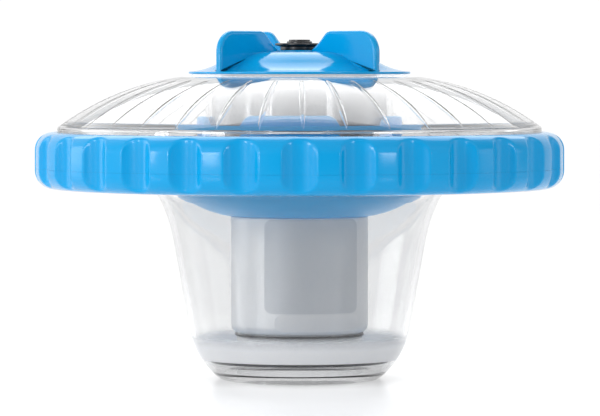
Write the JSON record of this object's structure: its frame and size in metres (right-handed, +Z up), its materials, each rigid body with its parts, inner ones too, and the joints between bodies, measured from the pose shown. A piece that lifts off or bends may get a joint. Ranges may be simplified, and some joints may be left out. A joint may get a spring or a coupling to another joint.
{
  "type": "floating pool light",
  "caption": "Floating pool light: clear bowl and dome clamped by a scalloped grip ring, lamp canister inside, winged screw knob with push button and cells on top.",
  "frame": {"origin": "centre of the bowl's foot, on the surface it stands on", "axes": "+Z up along the axis of the bowl, ring and knob; -Y is the side with the stickers, +X its right"},
  "size_m": [0.222, 0.2216, 0.146],
  "materials": {
    "clear_shell": "clear, polished, colourless",
    "blue_plastic": "moulded sky blue, softly glossy",
    "silver_plastic": "silver-grey, satin",
    "black_plastic": "black, satin",
    "label_film": "bare silver-grey sticker film",
    "strip_film": "bare white sticker film",
    "reflector_plastic": "milky pale grey, reflective",
    "seal_rubber": "dark, soft",
    "screw_steel": "bright, plain",
    "board_white": "white-coated lamp board",
    "lamp_yellow": "yellow phosphor under a clear lens",
    "sink_aluminium": "turned, plain",
    "board_green": "green circuit board",
    "core_ferrite": "dark ferrite",
    "lead_red": "red wire insulation",
    "contact_brass": "bright contact metal",
    "cell_jacket": "plain metallic cell jacket"
  },
  "bodies": {
    "float": {"clear_bowl": "clear_shell", "clear_dome": "clear_shell", "shell_seal": "seal_rubber", "grip_ring_upper": "blue_plastic", "grip_ring_lower": "blue_plastic", "carrier": "blue_plastic", "carrier_screws": "screw_steel", "battery_housing": "silver_plastic", "housing_screws": "screw_steel", "driver_canister": "silver_plastic", "rating_label": "label_film", "date_strip": "strip_film", "reflector": "reflector_plastic", "reflector_pad": "seal_rubber", "led_board": "board_white", "led_emitter": "lamp_yellow", "heat_sink": "sink_aluminium", "driver_standoffs": "contact_brass", "driver_board": "board_green", "driver_inductor": "core_ferrite", "driver_capacitor": "cell_jacket", "lead_wires": "lead_red", "contact_rings": "contact_brass"},
    "gasket": {"knob_gasket": "seal_rubber"},
    "o_ring": {"knob_o_ring": "seal_rubber"},
    "knob": {"knob": "blue_plastic", "cassette": "black_plastic", "cassette_screws": "screw_steel", "cell_1": "cell_jacket", "cell_2": "cell_jacket", "cell_3": "cell_jacket", "cell_4": "cell_jacket", "cell_contacts": "contact_brass", "cassette_springs": "contact_brass", "button_bezel": "black_plastic", "switch_board": "board_green", "tact_switch": "black_plastic"},
    "button": {"power_button": "black_plastic"}
  },
  "joints": [
    {"name": "lift_off", "type": "slide", "parent": "float", "child": "gasket", "axis": [0, 0, 1], "range_m": [0, 0.07]},
    {"name": "thread_rise", "type": "slide", "parent": "gasket", "child": "o_ring", "axis": [0, 0, 1], "range_m": [0, 0.0031]},
    {"name": "knob_turn", "type": "hinge", "parent": "o_ring", "child": "knob", "pos_m": [0, 0, 0.128], "axis": [0, 0, 1], "range_deg": [0, 120]},
    {"name": "button_press", "type": "slide", "parent": "knob", "child": "button", "axis": [0, 0, -1], "range_m": [0, 0.0015], "stiffness_N_per_m": 300, "springref_m": -0.0005}
  ],
  "couplings": [
    {"joint": "thread_rise", "follows": "knob_turn", "m_per_rad": 0.00143}
  ]
}
